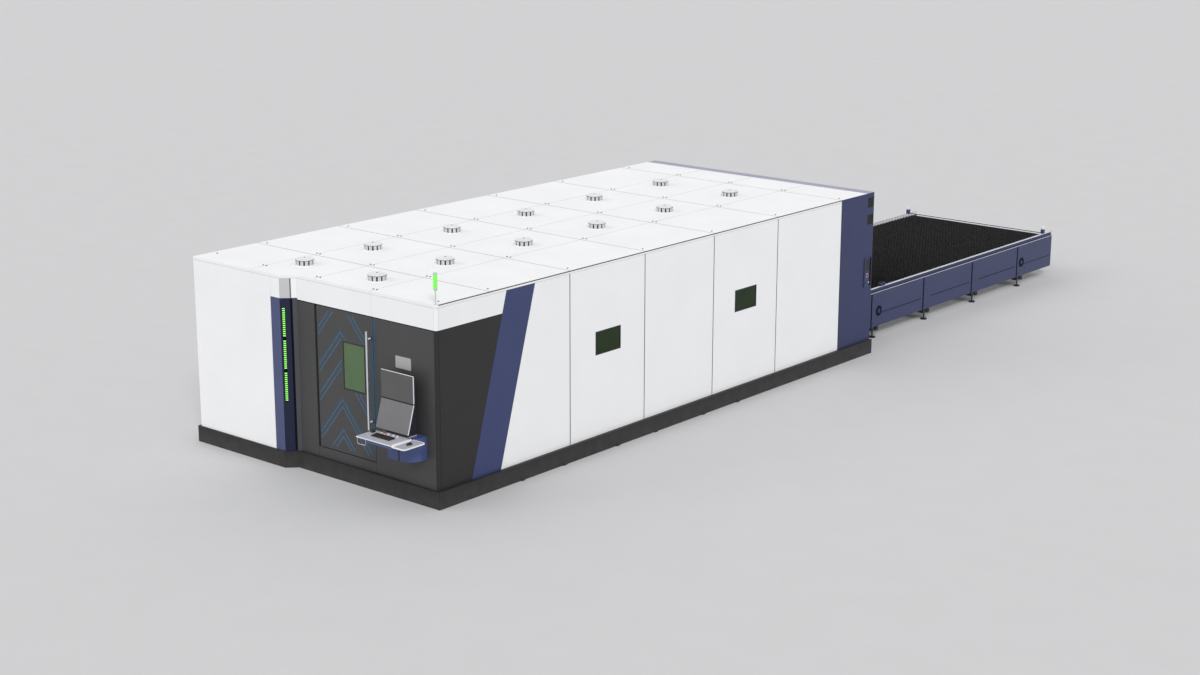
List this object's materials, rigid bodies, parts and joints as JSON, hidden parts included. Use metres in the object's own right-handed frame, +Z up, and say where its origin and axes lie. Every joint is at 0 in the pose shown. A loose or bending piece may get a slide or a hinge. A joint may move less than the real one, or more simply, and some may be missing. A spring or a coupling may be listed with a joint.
{
  "type": "fiber laser cutting machine",
  "caption": "Fully enclosed sheet laser cutter with an operator door and console at the front and a slatted pallet changer behind",
  "frame": {"origin": "on the floor, at the middle of the whole footprint with the console and the pallet changer", "axes": "+Y runs along the machine from the operator's front to the far end of the pallet changer, +Z is up, and +X is to the operator's right when facing the machine"},
  "size_m": [4.54, 17.16, 2.995],
  "materials": {
    "white_paint": "satin powder coat",
    "blue_paint": "satin powder coat",
    "dark_paint": "fine textured powder coat",
    "plinth_paint": "fine textured powder coat",
    "roof_paint": "satin powder coat",
    "machine_paint": "gloss machine paint",
    "green_glass": "laser-absorbing tinted pane",
    "side_glass": "laser-absorbing tinted pane",
    "light_plastic": "lit diffuser",
    "lamp_plastic": "lit lens",
    "bright_steel": "brushed",
    "galvanised": "galvanised",
    "slat_steel": "mill scale and soot",
    "aluminium_rail": "anodised",
    "black_plastic": "fine grain",
    "screen_plastic": "glossy face in a pale edge",
    "grey_plastic": "fine grain",
    "red_plastic": "moulded",
    "green_plastic": "moulded",
    "white_plastic": "moulded"
  },
  "bodies": {
    "machine": {"plinth_skirts": "plinth_paint", "enclosure_frame": "machine_paint", "cabinet_front_panel": "white_paint", "light_column": "blue_paint", "light_bars": "light_plastic", "operator_wall_panels": "dark_paint", "white_band_panels": "white_paint", "stripe_panel": "blue_paint", "side_panels": "white_paint", "side_window_panes": "side_glass", "roof_panels": "roof_paint", "roof_vents": "galvanised", "lamp_pole": "bright_steel", "lamp_lens": "lamp_plastic", "rear_portal": "blue_paint", "rear_grilles": "black_plastic", "door_frame": "dark_paint", "console_pod": "blue_paint", "rear_station": "blue_paint", "bed_frame": "machine_paint", "long_rails_and_racks": "bright_steel", "laser_source_cabinet": "white_paint", "pallet_tracks": "machine_paint", "changer_side_panels": "blue_paint", "changer_frame": "dark_paint", "changer_rails": "bright_steel", "rail_blocks": "blue_paint", "drive_chains": "bright_steel"},
    "door": {"door_leaf": "dark_paint", "door_window": "green_glass", "door_handle": "bright_steel"},
    "console": {"console_tray": "grey_plastic", "tray_base": "blue_paint", "upper_screen": "screen_plastic", "lower_screen": "screen_plastic", "console_housing": "blue_paint", "console_loop": "aluminium_rail", "keyboard": "black_plastic", "mouse": "black_plastic", "control_rings": "bright_steel"},
    "console_button_1": {"console_button_1": "green_plastic"},
    "console_button_2": {"console_button_2": "white_plastic"},
    "console_button_3": {"console_button_3": "white_plastic"},
    "console_button_4": {"console_button_4": "white_plastic"},
    "console_stop_button": {"console_stop_button": "red_plastic"},
    "console_knob": {"console_knob": "black_plastic"},
    "rear_stop_button": {"rear_stop_button": "red_plastic"},
    "rear_button_1": {"rear_button_1": "green_plastic"},
    "rear_button_2": {"rear_button_2": "white_plastic"},
    "gantry": {"gantry_beam": "machine_paint", "gantry_end_carriages": "machine_paint"},
    "carriage": {"cross_carriage": "machine_paint"},
    "head": {"cutting_head": "bright_steel"},
    "upper_pallet": {"upper_pallet_frame": "machine_paint", "upper_pallet_slats": "slat_steel"},
    "lower_pallet": {"lower_pallet_frame": "machine_paint", "lower_pallet_slats": "slat_steel"},
    "gate": {"rear_gate": "blue_paint"},
    "near_sprockets": {"near_sprockets": "bright_steel"},
    "far_sprockets": {"far_sprockets": "bright_steel"}
  },
  "joints": [
    {"name": "door_swing", "type": "hinge", "parent": "machine", "child": "door", "pos_m": [0.051, -7.95, 1.3], "axis": [0, 0, 1], "range_deg": [-105, 0]},
    {"name": "console_swivel", "type": "hinge", "parent": "machine", "child": "console", "pos_m": [1.7, -8.12, 0.885], "axis": [0, 0, 1], "range_deg": [-20, 20]},
    {"name": "console_press_1", "type": "slide", "parent": "console", "child": "console_button_1", "axis": [0, 0, -1], "range_m": [0, 0.004], "stiffness_N_per_m": 250},
    {"name": "console_press_2", "type": "slide", "parent": "console", "child": "console_button_2", "axis": [0, 0, -1], "range_m": [0, 0.004], "stiffness_N_per_m": 250},
    {"name": "console_press_3", "type": "slide", "parent": "console", "child": "console_button_3", "axis": [0, 0, -1], "range_m": [0, 0.004], "stiffness_N_per_m": 250},
    {"name": "console_press_4", "type": "slide", "parent": "console", "child": "console_button_4", "axis": [0, 0, -1], "range_m": [0, 0.004], "stiffness_N_per_m": 250},
    {"name": "console_stop_press", "type": "slide", "parent": "console", "child": "console_stop_button", "axis": [0, 0, -1], "range_m": [0, 0.005], "stiffness_N_per_m": 400},
    {"name": "console_knob_turn", "type": "hinge", "parent": "console", "child": "console_knob", "pos_m": [1.401, -8.314, 0.93], "axis": [0, 0, 1], "range_deg": [-135, 135]},
    {"name": "rear_stop_press", "type": "slide", "parent": "machine", "child": "rear_stop_button", "axis": [-1, 0, 0], "range_m": [0, 0.005], "stiffness_N_per_m": 400},
    {"name": "rear_press_1", "type": "slide", "parent": "machine", "child": "rear_button_1", "axis": [-1, 0, 0], "range_m": [0, 0.004], "stiffness_N_per_m": 250},
    {"name": "rear_press_2", "type": "slide", "parent": "machine", "child": "rear_button_2", "axis": [-1, 0, 0], "range_m": [0, 0.004], "stiffness_N_per_m": 250},
    {"name": "gantry_travel", "type": "slide", "parent": "machine", "child": "gantry", "axis": [0, 1, 0], "range_m": [-0.4, 5.9]},
    {"name": "carriage_travel", "type": "slide", "parent": "gantry", "child": "carriage", "axis": [1, 0, 0], "range_m": [-0.05, 2.55]},
    {"name": "head_travel", "type": "slide", "parent": "carriage", "child": "head", "axis": [0, 0, 1], "range_m": [-0.33, 0.02]},
    {"name": "pallet_exchange", "type": "slide", "parent": "machine", "child": "upper_pallet", "axis": [0, -1, 0], "range_m": [0, 6.75]},
    {"name": "lower_pallet_travel", "type": "slide", "parent": "machine", "child": "lower_pallet", "axis": [0, 1, 0], "range_m": [0, 6.75]},
    {"name": "near_sprocket_turn", "type": "hinge", "parent": "machine", "child": "near_sprockets", "pos_m": [0.29, 2.713, 0.43], "axis": [1, 0, 0], "continuous": true},
    {"name": "far_sprocket_turn", "type": "hinge", "parent": "machine", "child": "far_sprockets", "pos_m": [0.29, 7.47, 0.43], "axis": [1, 0, 0], "continuous": true},
    {"name": "gate_travel", "type": "slide", "parent": "machine", "child": "gate", "axis": [0, 0, -1], "range_m": [0, 0.6]}
  ],
  "couplings": [
    {"joint": "lower_pallet_travel", "follows": "pallet_exchange", "ratio": 1},
    {"joint": "near_sprocket_turn", "follows": "pallet_exchange", "rad_per_m": 23.529},
    {"joint": "far_sprocket_turn", "follows": "pallet_exchange", "rad_per_m": 23.529}
  ]
}
